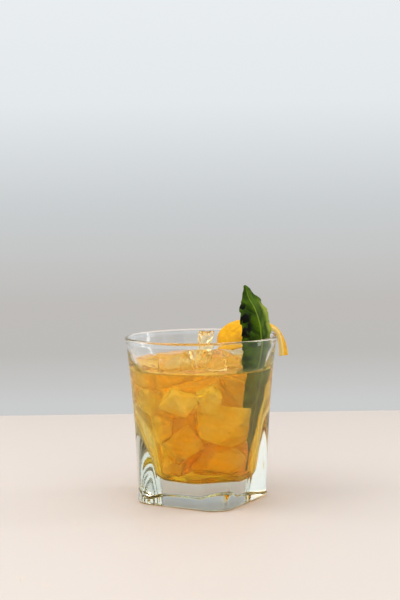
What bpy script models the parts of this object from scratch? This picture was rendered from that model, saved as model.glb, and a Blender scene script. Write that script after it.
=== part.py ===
"""Whiskey sour on ice: a square-footed tumbler, the drink, ice standing out of it, a leaf and lemon peel.

Metres, Z up. The origin is on the table, under the middle of the glass, whose flat sides face X and Y.
"""

import math
import random

import bmesh
import bpy
from mathutils import Euler, Matrix, Vector

MM = 0.001
GAP = 0.3 * MM
ROOT_TWO = math.sqrt(2)

# Tumbler, outside: a rounded square at the foot that becomes a circle under a rounded lip
HEIGHT = 94.6 * MM
RIM_RADIUS = 44 * MM
WALL_RADIUS = 43.2 * MM
FOOT_FLAT = 30.6 * MM
FOOT_CORNER = 38.2 * MM
FLAT_SPREAD = 1.2
CORNER_SPREAD = 1.95
FOOT_EDGE = 1.5 * MM
LIP_RADIUS = 1.25 * MM
LIP_START = math.radians(-30)
LIP_FALL = 2.5 * LIP_RADIUS
WALL_TOP = HEIGHT - LIP_FALL
ROUND_STEPS = 64
WALL_STEPS = 11
FOOT_STEPS = 4
LIP_STEPS = 7

# Tumbler, inside: radius and height of points up its wall, from the flat floor to just under the lip
CAVITY_MM = (
    (14, 13.3),
    (18.6, 13.9),
    (21.6, 16),
    (23, 20),
    (24.2, 28),
    (26.6, 42),
    (32.4, 60),
    (38.4, 76),
    (40.6, 86),
    (41.5, 93.3),
)
CAVITY_STEPS = 17
CAVITY_READ_STEPS = 90

# Drink
LEVEL = 76 * MM
MENISCUS = 1 * MM
MENISCUS_REACH = 3 * MM
MENISCUS_BEND_IN = MENISCUS_REACH / 3
MENISCUS_BEND_UP = MENISCUS / 4
SEAM = 0.01 * MM

# Places are given as seen from the front: across to the right, away from the eye, up from the table
VIEW_TURN = math.radians(30)
SLOPE_READ = 0.01

# Ice: middle, size, and tilt about X, Y and Z in degrees
ICE_MM = (
    ((-30, -10, 76), (11, 13.5, 15.5), (8, -12, 20)),
    ((-15, -10.5, 77.5), (20, 18, 18.5), (-4, -8, 16)),
    ((-1.5, -10, 80.5), (11, 13, 18), (8, -6, 14)),
    ((0.8, 6.5, 85.3), (5, 5.6, 23), (6, 5, 40)),
    ((14.5, -12, 79.5), (20, 12, 12), (4, 22, 4)),
    ((21.5, 12, 77), (16, 15, 17), (-10, 12, 25)),
    ((8.5, -24.5, 81.5), (9, 9, 13), (16, -12, 30)),
    ((-17, 16, 75), (18, 16, 17), (9, -7, -28)),
    ((7, 25, 76), (17, 13, 15), (-12, 10, 15)),
)
ICE_SLANT = 0.16
ICE_CHIPS = 3
ICE_CHIP_LEAN = (0.4, 1)
ICE_CHIP_DEPTH = (0.62, 0.8)
ICE_ROUNDING = 1.3 * MM
ICE_ROUNDING_STEPS = 2
ICE_MERGE = ICE_ROUNDING / 8
ICE_BLANK = 4
ICE_WALL_GAP = 1.5 * MM

# Leaf: midrib from the end of the stalk to the tip, and the blade's width to the left and right along it
MIDRIB_MM = (
    (17.5, -7, 18.5),
    (19.5, -7.5, 30),
    (21.5, -8, 42),
    (26, -11, 60),
    (31, -14, 76),
    (33.6, -16, 90),
    (33.4, -16.5, 100),
    (30.8, -16, 110),
    (27.2, -14.5, 117),
    (25.2, -12.5, 124),
)
LEFT_WIDTH_MM = (1.0, 1.0, 5.0, 7.8, 9.8, 12.2, 12.0, 10.2, 4.4, 0.5)
RIGHT_WIDTH_MM = (1.0, 1.0, 5.0, 7.8, 9.2, 10.4, 11.4, 11.8, 9.6, 0.5)
LEFT_SIDE = Vector((-0.9, -0.43, 0))
RIGHT_SIDE = Vector((0.57, 0.82, 0))
LEAF_STEPS = 54
LEAF_POINTS_ACROSS = 9
BLADE_THICKNESS = 0.7 * MM
BLADE_START = 3 * MM
RIB_THICKNESS = 1.3 * MM
RIB_HALF_WIDTH = 1.1 * MM
STALK_EDGE = 0.5
FOLD_REACH = 4 * MM
VEIN_RIPPLE = 0.45 * MM
VEIN_PAIRS = 9
VEIN_SLANT = 0.6
TEETH = 13
TOOTH_DEPTH = 0.07

# Lemon peel: a strip laid over the rim behind the leaf
PEEL_MM = (
    (14, 8, 87),
    (16.5, 9, 91.5),
    (21.5, 11, 95.8),
    (29.5, 12.5, 98.8),
    (37.2, 13, 98.6),
    (43.8, 12.5, 95.6),
    (47.2, 12, 88.6),
    (48.2, 11, 81),
)
PEEL_TURN_DEGREES = (56, 52, 36, 20, 6, 2, 14, 24)
PEEL_HALF_WIDTH_MM = (5.5, 8, 9, 8.4, 7, 6, 5.6, 5)
PEEL_THICKNESS = 2.4 * MM
PEEL_EDGE = 0.55
PEEL_CROWN = 0.7 * MM
PEEL_STEPS = 34
PEEL_POINTS_ACROSS = 7


def place(across, away, up):
    """Turns a place seen from the front into one in the glass's own frame."""
    right = Vector((math.cos(VIEW_TURN), math.sin(VIEW_TURN), 0))
    back = Vector((-math.sin(VIEW_TURN), math.cos(VIEW_TURN), 0))
    return right * across + back * away + Vector((0, 0, up))


def through(points, position):
    """A smooth curve through points, read at a position from 0 to 1."""
    last = len(points) - 1
    start = min(int(position * last), last - 1)
    t = position * last - start
    p1 = Vector(points[start])
    p2 = Vector(points[start + 1])
    p0 = Vector(points[start - 1]) if start else 2 * p1 - p2
    p3 = Vector(points[start + 2]) if start + 2 <= last else 2 * p2 - p1
    cubic = (3 * (p1 - p2) + p3 - p0) * t**3
    square = (2 * p0 - 5 * p1 + 4 * p2 - p3) * t**2
    return (2 * p1 + (p2 - p0) * t + square + cubic) / 2


def value_through(values, position):
    """The same for plain numbers."""
    return through([(value, 0) for value in values], position)[0]


def new_collection(name, drawn):
    collection = bpy.data.collections.new(name)
    bpy.context.scene.collection.children.link(collection)
    collection.hide_render = not drawn
    return collection


def add_object(name, bm, collection):
    """Makes an object of a bmesh, faces outwards."""
    bmesh.ops.recalc_face_normals(bm, faces=bm.faces)
    mesh = bpy.data.meshes.new(name)
    bm.to_mesh(mesh)
    bm.free()
    obj = bpy.data.objects.new(name, mesh)
    collection.objects.link(obj)
    if collection.hide_render:
        obj.hide_render = True
        obj.display_type = "WIRE"
    return obj


def loft(rings):
    """A closed body through rings of as many points each, its two ends filled."""
    bm = bmesh.new()
    loops = [[bm.verts.new(point) for point in ring] for ring in rings]
    count = len(loops[0])
    for low, high in zip(loops, loops[1:]):
        for i in range(count):
            j = (i + 1) % count
            bm.faces.new((low[i], low[j], high[j], high[i]))
    bm.faces.new(reversed(loops[0]))
    bm.faces.new(loops[-1])
    return bm


def rounded_square(angle, flat, corner):
    """Distance from the axis to a rounded square, flat away at its sides and corner away at its corners."""
    straight = (corner - flat) / (ROOT_TWO - 1)
    rounding = flat - straight
    folded = angle % (math.pi / 2)
    folded = min(folded, math.pi / 2 - folded)
    if flat * math.tan(folded) <= straight:
        return flat / math.cos(folded)
    reach = straight * (math.cos(folded) + math.sin(folded))
    return reach + math.sqrt(rounding**2 - straight**2 * (1 - math.sin(2 * folded)))


def glass_ring(height, flat, corner):
    angles = [2 * math.pi * i / ROUND_STEPS for i in range(ROUND_STEPS)]
    radii = [rounded_square(angle, flat, corner) for angle in angles]
    return [
        Vector((radius * math.cos(angle), radius * math.sin(angle), height))
        for angle, radius in zip(angles, radii)
    ]


def flat_at(height):
    return FOOT_FLAT + (WALL_RADIUS - FOOT_FLAT) * (height / WALL_TOP) ** FLAT_SPREAD


def corner_at(height):
    return FOOT_CORNER + (WALL_RADIUS - FOOT_CORNER) * (height / WALL_TOP) ** CORNER_SPREAD


def cavity_profile(steps):
    """Radius and height up the inner wall, from the edge of the flat floor to just under the lip."""
    return [through(CAVITY_MM, i / steps) * MM for i in range(steps + 1)]


def cavity_radius(height):
    """Radius of the cavity at a height over the floor."""
    profile = cavity_profile(CAVITY_READ_STEPS)
    for low, high in zip(profile, profile[1:]):
        if low[1] <= height <= high[1]:
            return low[0] + (high[0] - low[0]) * (height - low[1]) / (high[1] - low[1])
    return profile[-1][0]


def build_tumbler(collection):
    """Foot, outer wall, rounded lip and the cavity, as one loft from the underside to the cavity's floor."""
    rings = []
    for i in range(FOOT_STEPS + 1):
        turn = math.pi / 2 * i / FOOT_STEPS
        height = FOOT_EDGE * (1 - math.cos(turn))
        inset = FOOT_EDGE * (1 - math.sin(turn))
        rings.append(glass_ring(height, flat_at(height) - inset, corner_at(height) - inset))
    for i in range(1, WALL_STEPS + 1):
        height = FOOT_EDGE + (WALL_TOP - FOOT_EDGE) * i / WALL_STEPS
        rings.append(glass_ring(height, flat_at(height), corner_at(height)))
    for i in range(LIP_STEPS):
        turn = LIP_START + (math.pi - LIP_START) * i / LIP_STEPS
        radius = RIM_RADIUS - LIP_RADIUS + LIP_RADIUS * math.cos(turn)
        rings.append(glass_ring(HEIGHT - LIP_RADIUS + LIP_RADIUS * math.sin(turn), radius, radius))
    for radius, height in reversed(cavity_profile(CAVITY_STEPS)):
        rings.append(glass_ring(height, radius, radius))
    return add_object("tumbler", loft(rings), collection)


def turned(name, profile, steps, collection):
    """A solid of revolution from a profile of radius and height that starts and ends on the axis."""
    bm = bmesh.new()
    points = [bm.verts.new((radius, 0, height)) for radius, height in reversed(profile)]
    for low, high in zip(points, points[1:]):
        bm.edges.new((low, high))
    mesh = bpy.data.meshes.new(name)
    bm.to_mesh(mesh)
    bm.free()
    obj = bpy.data.objects.new(name, mesh)
    collection.objects.link(obj)
    screw = obj.modifiers.new("turn", "SCREW")
    screw.steps = steps
    screw.render_steps = steps
    screw.use_merge_vertices = True
    screw.merge_threshold = SEAM
    if collection.hide_render:
        obj.hide_render = True
        obj.display_type = "WIRE"
    return obj


def cut(target, other, operation="DIFFERENCE"):
    boolean = target.modifiers.new(f"{operation.lower()} {other.name}", "BOOLEAN")
    boolean.operation = operation
    boolean.solver = "EXACT"
    boolean.object = other


def wall_profile(inset, top):
    """Profile of a body that fills the cavity to a height, an inset away from its wall and floor."""
    points = cavity_profile(CAVITY_STEPS)
    profile = [(0, points[0][1] + inset)]
    for before, here, after in zip(points[:1] + points, points, points[1:]):
        along = (after - before).normalized()
        radius, height = here + Vector((-along[1], along[0])) * inset
        if height < top - MM:
            profile.append((radius, height))
    return profile


def build_drink(collection):
    """The drink, up to its level, with its edge drawn up the wall."""
    profile = wall_profile(GAP, LEVEL)
    edge = cavity_radius(LEVEL + MENISCUS) - GAP
    profile.append((edge, LEVEL + MENISCUS))
    profile.append((edge - MENISCUS_BEND_IN, LEVEL + MENISCUS_BEND_UP))
    profile.append((edge - MENISCUS_REACH, LEVEL))
    profile.append((0, LEVEL))
    return turned("drink", profile, ROUND_STEPS, collection)


def ice_planes(number):
    """Normals and distances of a block's faces: six slightly tilted sides, then the broken corners."""
    size = Vector(ICE_MM[number][1]) * MM / 2
    uneven = random.Random(number)
    planes = []
    for axis in range(3):
        for sign in (-1, 1):
            normal = Vector([uneven.uniform(-ICE_SLANT, ICE_SLANT) for _ in range(3)])
            normal[axis] = sign
            planes.append((normal.normalized(), size[axis]))
    for _ in range(ICE_CHIPS):
        lean = [uneven.choice((-1, 1)) * uneven.uniform(*ICE_CHIP_LEAN) for _ in range(3)]
        normal = Vector(lean).normalized()
        corner = sum(abs(along) * half for along, half in zip(normal, size))
        planes.append((normal, corner * uneven.uniform(*ICE_CHIP_DEPTH)))
    return planes


def ice_block(name, number, grown, collection):
    """One block of ice with slanted sides, broken corners and rounded edges, larger all round by grown."""
    middle, size, tilt = ICE_MM[number]
    bm = bmesh.new()
    bmesh.ops.create_cube(bm, size=ICE_BLANK * max(size) * MM)
    for normal, distance in ice_planes(number):
        everything = bm.verts[:] + bm.edges[:] + bm.faces[:]
        spot = normal * (distance + grown)
        made = bmesh.ops.bisect_plane(
            bm, geom=everything, plane_co=spot, plane_no=normal, clear_outer=True
        )
        rim = [piece for piece in made["geom_cut"] if isinstance(piece, bmesh.types.BMEdge)]
        bmesh.ops.holes_fill(bm, edges=rim)
    bmesh.ops.dissolve_degenerate(bm, edges=bm.edges, dist=ICE_MERGE)
    tilted = Euler([math.radians(angle) for angle in tilt]).to_matrix().to_4x4()
    seat = Matrix.Translation(place(*(length * MM for length in middle)))
    front = Matrix.Rotation(VIEW_TURN, 4, "Z")
    bmesh.ops.transform(bm, matrix=seat @ front @ tilted, verts=bm.verts)
    obj = add_object(name, bm, collection)
    bevel = obj.modifiers.new("rounding", "BEVEL")
    bevel.width = ICE_ROUNDING
    bevel.segments = ICE_ROUNDING_STEPS
    bevel.limit_method = "NONE"
    return obj


def leaf_place(position):
    """Place on the midrib, at a position from 0 at the stalk's end to 1 at the tip."""
    return place(*(through(MIDRIB_MM, position) * MM))


def leaf_rings(grown):
    """Cross-sections of the leaf: a stalk, then a toothed blade folded along its rib, rippled by veins."""
    left = place(*LEFT_SIDE).normalized()
    right = place(*RIGHT_SIDE).normalized()
    across = (right - left).normalized()
    rings = []
    for i in range(LEAF_STEPS + 1):
        position = i / LEAF_STEPS
        middle = leaf_place(position)
        ahead = leaf_place(min(1, position + SLOPE_READ)) - leaf_place(max(0, position - SLOPE_READ))
        if i in (0, LEAF_STEPS):
            middle += ahead.normalized() * math.copysign(grown, position - 0.5)
        front, back = [], []
        for k in range(LEAF_POINTS_ACROSS):
            share = 2 * k / (LEAF_POINTS_ACROSS - 1) - 1
            half = value_through(LEFT_WIDTH_MM if share < 0 else RIGHT_WIDTH_MM, position) * MM
            blade = min(1, max(0, half - RIB_HALF_WIDTH) / BLADE_START)
            half *= 1 - TOOTH_DEPTH * blade * ((position * TEETH) % 1)
            offset = (half + grown) * share
            folded = min(1, abs(offset) / FOLD_REACH)
            side = across.lerp(left * -1 if share < 0 else right, folded).normalized()
            outward = side.cross(ahead).normalized()
            vein = math.sin(2 * math.pi * (position * VEIN_PAIRS - abs(share) * VEIN_SLANT))
            ripple = VEIN_RIPPLE * blade * abs(share) * vein
            rib = RIB_THICKNESS * math.exp(-((half * share / RIB_HALF_WIDTH) ** 2))
            rim = max(STALK_EDGE, math.sqrt(max(0.0, 1 - share**2))) if blade == 0 else 1
            thick = BLADE_THICKNESS * rim / 2 + grown
            spot = middle + side * offset + outward * ripple
            front.append(spot + outward * thick)
            back.append(spot - outward * (thick + rib * rim))
        rings.append(front + back[::-1])
    return rings


def build_leaf(collection, name="leaf", grown=0.0):
    return add_object(name, loft(leaf_rings(grown)), collection)


def peel_place(position):
    """Place on the middle of the strip, at a position from 0 inside the glass to 1 outside it."""
    return place(*(through(PEEL_MM, position) * MM))


def peel_rings(grown):
    """Cross-sections of the peel: a crowned strip that turns as it goes over the rim."""
    rings = []
    for i in range(PEEL_STEPS + 1):
        position = i / PEEL_STEPS
        here = peel_place(position)
        before = peel_place(max(0, position - SLOPE_READ))
        after = peel_place(min(1, position + SLOPE_READ))
        ahead = (after - before).normalized()
        if i in (0, PEEL_STEPS):
            here += ahead * math.copysign(grown, position - 0.5)
        turn = math.radians(value_through(PEEL_TURN_DEGREES, position))
        back = place(0, 1, 0)
        lateral = (back - ahead * back.dot(ahead)).normalized()
        lateral = Matrix.Rotation(turn, 3, ahead) @ lateral
        outward = ahead.cross(lateral)
        half = value_through(PEEL_HALF_WIDTH_MM, position) * MM + grown
        thick = PEEL_THICKNESS / 2 + grown
        outer, inner = [], []
        for k in range(PEEL_POINTS_ACROSS):
            share = 2 * k / (PEEL_POINTS_ACROSS - 1) - 1
            edge = PEEL_EDGE if abs(share) == 1 else 1
            spot = here + lateral * half * share + outward * PEEL_CROWN * (1 - share**2)
            outer.append(spot + outward * edge * thick)
            inner.append(spot - outward * edge * thick)
        rings.append(outer + inner[::-1])
    return rings


def build_peel(collection, name="lemon_peel", grown=0.0):
    return add_object(name, loft(peel_rings(grown)), collection)


def paint(obj, name, color, roughness, transmission=0.0):
    material = bpy.data.materials.new(name)
    material.use_nodes = True
    shader = material.node_tree.nodes["Principled BSDF"]
    shader.inputs["Base Color"].default_value = (*color, 1)
    shader.inputs["Roughness"].default_value = roughness
    shader.inputs["Transmission Weight"].default_value = transmission
    obj.data.materials.append(material)


def main():
    for obj in list(bpy.data.objects):
        bpy.data.objects.remove(obj)
    pieces = new_collection("whiskey_sour", True)
    cutters = new_collection("cutters", False)

    tumbler = build_tumbler(pieces)
    drink = build_drink(pieces)
    leaf = build_leaf(pieces)
    peel = build_peel(pieces)

    garnish_rooms = [build_leaf(cutters, "leaf_room", GAP), build_peel(cutters, "peel_room", GAP)]
    over = 2 * HEIGHT
    inside_profile = wall_profile(ICE_WALL_GAP, HEIGHT)
    inside_profile += [(cavity_radius(HEIGHT) - ICE_WALL_GAP, over), (0, over)]
    inside = turned("inside", inside_profile, ROUND_STEPS, cutters)
    rooms = []
    blocks = []
    for number in range(len(ICE_MM)):
        block = ice_block(f"ice_{number + 1}", number, 0.0, pieces)
        cut(block, inside, "INTERSECT")
        for room in garnish_rooms + rooms:
            cut(block, room)
        blocks.append(block)
        rooms.append(ice_block(f"ice_room_{number + 1}", number, GAP, cutters))
    for room in [garnish_rooms[0], *rooms]:
        cut(drink, room)

    paint(tumbler, "clear glass", (1, 1, 1), 0.0, 1.0)
    paint(drink, "amber drink", (0.72, 0.33, 0.03), 0.1, 0.6)
    for block in blocks:
        paint(block, "ice", (0.93, 0.9, 0.82), 0.08, 0.8)
    paint(leaf, "green leaf", (0.05, 0.1, 0.006), 0.45)
    paint(peel, "lemon peel", (0.86, 0.5, 0.01), 0.5)


main()
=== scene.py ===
"""Dresses the whiskey sour: a tumbler of amber drink and ice, with a tall leaf and a strip of lemon peel."""

import logging
import math
import random
from dataclasses import dataclass, field
from enum import Enum
from typing import Callable

import bmesh
import bpy
from mathutils import Euler, Matrix, Quaternion, Vector, noise


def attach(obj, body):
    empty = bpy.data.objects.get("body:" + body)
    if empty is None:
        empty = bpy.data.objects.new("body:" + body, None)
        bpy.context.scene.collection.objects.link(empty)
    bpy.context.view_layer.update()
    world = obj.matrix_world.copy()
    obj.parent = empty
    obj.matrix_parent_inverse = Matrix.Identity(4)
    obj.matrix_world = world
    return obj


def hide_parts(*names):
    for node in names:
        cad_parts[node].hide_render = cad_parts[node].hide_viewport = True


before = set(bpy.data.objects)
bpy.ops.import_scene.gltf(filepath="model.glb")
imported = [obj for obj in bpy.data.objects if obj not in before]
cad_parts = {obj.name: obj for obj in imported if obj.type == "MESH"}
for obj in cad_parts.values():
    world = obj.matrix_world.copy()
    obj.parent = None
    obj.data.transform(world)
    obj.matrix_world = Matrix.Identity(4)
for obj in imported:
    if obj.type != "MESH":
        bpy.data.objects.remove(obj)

MM = 0.001
ROOT_TWO = math.sqrt(2)
VIEW_TURN = math.radians(30)
MERGE_DISTANCE = 0.01 * MM
HEADING_STEP = 0.01
WAVE_LENGTH = 5 * MM
FINE_WAVE_LENGTH = 2.2 * MM
FINE_WAVE_FALL = 2.5
WAVE_SHIFT = (3.7, 1.3, 2.1)

log = logging.getLogger("whiskey_sour")

Color = tuple[float, float, float]
Band = tuple[float, float]
Socket = bpy.types.NodeSocket
Shape = bmesh.types.BMesh


# ---------------------------------------------------------------- measures


def place(across: float, away: float, up: float) -> Vector:
    """Turns a place seen from the front into the glass's own frame.

    Args:
        across: metres to the viewer's right of the axis.
        away: metres behind the axis, away from the viewer.
        up: metres over the table.

    Returns:
        The place in the glass's frame.
    """
    right = Vector((math.cos(VIEW_TURN), math.sin(VIEW_TURN), 0))
    back = Vector((-math.sin(VIEW_TURN), math.cos(VIEW_TURN), 0))
    return right * across + back * away + Vector((0, 0, up))


def through(points: tuple, position: float) -> Vector:
    """Reads a smooth curve through points.

    Args:
        points: the points, evenly spaced along the curve.
        position: where to read, from 0 at the first to 1 at the last.

    Returns:
        The point there.
    """
    last = len(points) - 1
    start = min(int(position * last), last - 1)
    t = position * last - start
    p1 = Vector(points[start])
    p2 = Vector(points[start + 1])
    p0 = Vector(points[start - 1]) if start else 2 * p1 - p2
    p3 = Vector(points[start + 2]) if start + 2 <= last else 2 * p2 - p1
    cubic = (3 * (p1 - p2) + p3 - p0) * t**3
    square = (2 * p0 - 5 * p1 + 4 * p2 - p3) * t**2
    return (2 * p1 + (p2 - p0) * t + square + cubic) / 2


def value_through(values: tuple, position: float) -> float:
    """Reads a smooth curve through plain numbers, as `through` does for points."""
    return through(tuple((value, 0.0) for value in values), position)[0]


def on_line(line_mm: tuple, position: float) -> Vector:
    """Place on a line given in millimetres as seen from the front, 0 at its start to 1 at its end."""
    return place(*(through(line_mm, position) * MM))


def heading(line_mm: tuple, position: float) -> Vector:
    """Short step ahead along such a line."""
    ahead = on_line(line_mm, min(1, position + HEADING_STEP))
    return ahead - on_line(line_mm, max(0, position - HEADING_STEP))


def spread(k: int, count: int) -> float:
    """Where the k-th of so many even points lies, from -1 to 1."""
    return 2 * k / (count - 1) - 1


def linear(red: int, green: int, blue: int) -> Color:
    """Turns a colour as a screen shows it into the linear one that shaders take.

    Args:
        red: 0 to 255.
        green: 0 to 255.
        blue: 0 to 255.

    Returns:
        The linear colour.
    """
    shares = (red / 255, green / 255, blue / 255)
    return tuple(share / 12.92 if share <= 0.04045 else ((share + 0.055) / 1.055) ** 2.4 for share in shares)


def rgba(color: Color) -> tuple[float, float, float, float]:
    """The colour, fully covering."""
    return (*color, 1)


# ---------------------------------------------------------------- mesh work


class Cut(Enum):
    """What is left of a body when others cut it."""

    WITHOUT = "DIFFERENCE"
    SHARED = "INTERSECT"


def workpiece(name: str, bm: Shape) -> bpy.types.Object:
    """Puts a shape on a bare object.

    Args:
        name: the object's name.
        bm: the shape, which is freed.

    Returns:
        The object, at the origin.
    """
    mesh = bpy.data.meshes.new(name)
    bm.to_mesh(mesh)
    bm.free()
    obj = bpy.data.objects.new(name, mesh)
    bpy.context.scene.collection.objects.link(obj)
    return obj


def discard(obj: bpy.types.Object) -> None:
    """Removes an object with its mesh.

    Args:
        obj: the object.
    """
    mesh = obj.data
    bpy.data.objects.remove(obj)
    bpy.data.meshes.remove(mesh)


def finish_piece(
    name: str, bm: Shape, material: bpy.types.Material, sharp_degrees: float
) -> bpy.types.Object:
    """Makes a visible piece of a shape, shaded smooth but for its sharp edges.

    Args:
        name: the piece's name.
        bm: its shape, which is freed.
        material: what it is dressed in.
        sharp_degrees: edges that turn by more than this stay sharp.

    Returns:
        The new object, at the origin.
    """
    obj = workpiece(name, bm)
    obj.data.shade_smooth()
    obj.data.set_sharp_from_angle(angle=math.radians(sharp_degrees))
    obj.data.materials.append(material)
    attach(obj, "root")
    return obj


def circle(radius: float, height: float, count: int) -> list[Vector]:
    """Draws a level circle about the axis.

    Args:
        radius: its radius.
        height: its height.
        count: how many points it has.

    Returns:
        Its points.
    """
    turns = [2 * math.pi * i / count for i in range(count)]
    return [Vector((radius * math.cos(turn), radius * math.sin(turn), height)) for turn in turns]


def rings_to_shell(rings: list[list[Vector]], notes: dict[str, Callable] | None = None) -> Shape:
    """Draws a closed shell out of one ring of points by extruding it through the others.

    Args:
        rings: loops of as many points each, from one end to the other.
        notes: numbers to keep on the points, each with how it is worked out of ring and place in it.

    Returns:
        The shell, closed at both ends and facing outwards.
    """
    bm = bmesh.new()
    layers = {name: bm.verts.layers.float.new(name) for name in notes or {}}
    made = bmesh.ops.create_circle(bm, cap_ends=False, radius=1, segments=len(rings[0]))
    loop = made["verts"]
    bmesh.ops.contextual_create(bm, geom=loop)
    for vert, point in zip(loop, rings[0]):
        vert.co = point
    loops = [loop]
    edges = list(bm.edges)
    for ring in rings[1:]:
        grown = bmesh.ops.extrude_edge_only(bm, edges=edges)["geom"]
        edges = [piece for piece in grown if isinstance(piece, bmesh.types.BMEdge)]
        fresh = {piece for piece in grown if isinstance(piece, bmesh.types.BMVert)}
        edges = [edge for edge in edges if all(vert in fresh for vert in edge.verts)]
        following = []
        for vert in loop:
            following.append(
                next(edge.other_vert(vert) for edge in vert.link_edges if edge.other_vert(vert) in fresh)
            )
        for vert, point in zip(following, ring):
            vert.co = point
        loop = following
        loops.append(loop)
    bmesh.ops.contextual_create(bm, geom=loop)
    bmesh.ops.recalc_face_normals(bm, faces=bm.faces)
    for name, layer in layers.items():
        for i, loop in enumerate(loops):
            for k, vert in enumerate(loop):
                vert[layer] = notes[name](i, k)
    return bm


def evaluated(obj: bpy.types.Object) -> Shape:
    """Reads an object with its modifiers applied.

    Args:
        obj: the object, which is removed.

    Returns:
        Its shape.
    """
    bpy.context.view_layer.update()
    bm = bmesh.new()
    bm.from_object(obj, bpy.context.evaluated_depsgraph_get())
    discard(obj)
    return bm


def combined(body: Shape, tools: list[Shape], cut: Cut) -> Shape:
    """Cuts a body by others, or keeps what it shares with them.

    Args:
        body: what is cut, which is freed.
        tools: what cuts it, left as they are.
        cut: what is left of the body.

    Returns:
        What is left.
    """
    target = workpiece("body", body)
    helpers = []
    for tool in tools:
        helper = workpiece("tool", tool.copy())
        helpers.append(helper)
        boolean = target.modifiers.new("cut", "BOOLEAN")
        boolean.operation = cut.value
        boolean.solver = "MANIFOLD"
        boolean.object = helper
    left = evaluated(target)
    for helper in helpers:
        discard(helper)
    return left


def swollen(bm: Shape, by: float) -> Shape:
    """Copies a shape with every point moved along its normal.

    Args:
        bm: the shape, left as it is.
        by: metres outwards, or inwards where negative.

    Returns:
        The copy.
    """
    copy = bm.copy()
    copy.normal_update()
    moved = [(vert, vert.co + vert.normal * by) for vert in copy.verts]
    for vert, point in moved:
        vert.co = point
    return copy


def melted(bm: Shape, grain: float, rounds: int, ripple: float, seed: int) -> Shape:
    """Turns a hard-edged block into one with softened edges and a slightly rippled skin.

    Args:
        bm: the block, which is freed.
        grain: size of the new faces in metres.
        rounds: how many times its points are evened out.
        ripple: how far its skin waves in metres.
        seed: shifts the ripple's pattern.

    Returns:
        The softened block.
    """
    block = workpiece("block", bm)
    remesh = block.modifiers.new("grain", "REMESH")
    remesh.mode = "VOXEL"
    remesh.voxel_size = grain
    soft = evaluated(block)
    for _ in range(rounds):
        bmesh.ops.smooth_vert(
            soft, verts=soft.verts, factor=0.5, use_axis_x=True, use_axis_y=True, use_axis_z=True
        )
    soft.normal_update()
    shift = Vector([seed * step for step in WAVE_SHIFT])
    waves = []
    for vert in soft.verts:
        fine = noise.noise(vert.co / FINE_WAVE_LENGTH + shift) / FINE_WAVE_FALL
        waves.append((vert, noise.noise(vert.co / WAVE_LENGTH + shift) + fine))
    for vert, wave in waves:
        vert.co += vert.normal * ripple * wave
    return soft


def node_shape(node: str) -> Shape:
    """Copies a solid of the frame, its loose triangles merged.

    Args:
        node: the solid's name.

    Returns:
        Its shape.
    """
    bm = bmesh.new()
    bm.from_mesh(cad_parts[node].data)
    bmesh.ops.remove_doubles(bm, verts=bm.verts, dist=MERGE_DISTANCE)
    return bm


# ---------------------------------------------------------------- finishes


@dataclass(frozen=True)
class Clouds:
    """How two tones of a finish wander into each other."""

    scale: float
    low: float
    high: float
    detail: float = 3.0


@dataclass(frozen=True)
class Skin:
    """Fine relief of a surface: soft swells with small pits in them."""

    swell_scale: float
    pit_scale: float
    pits: float
    strength: float
    depth: float


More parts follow.
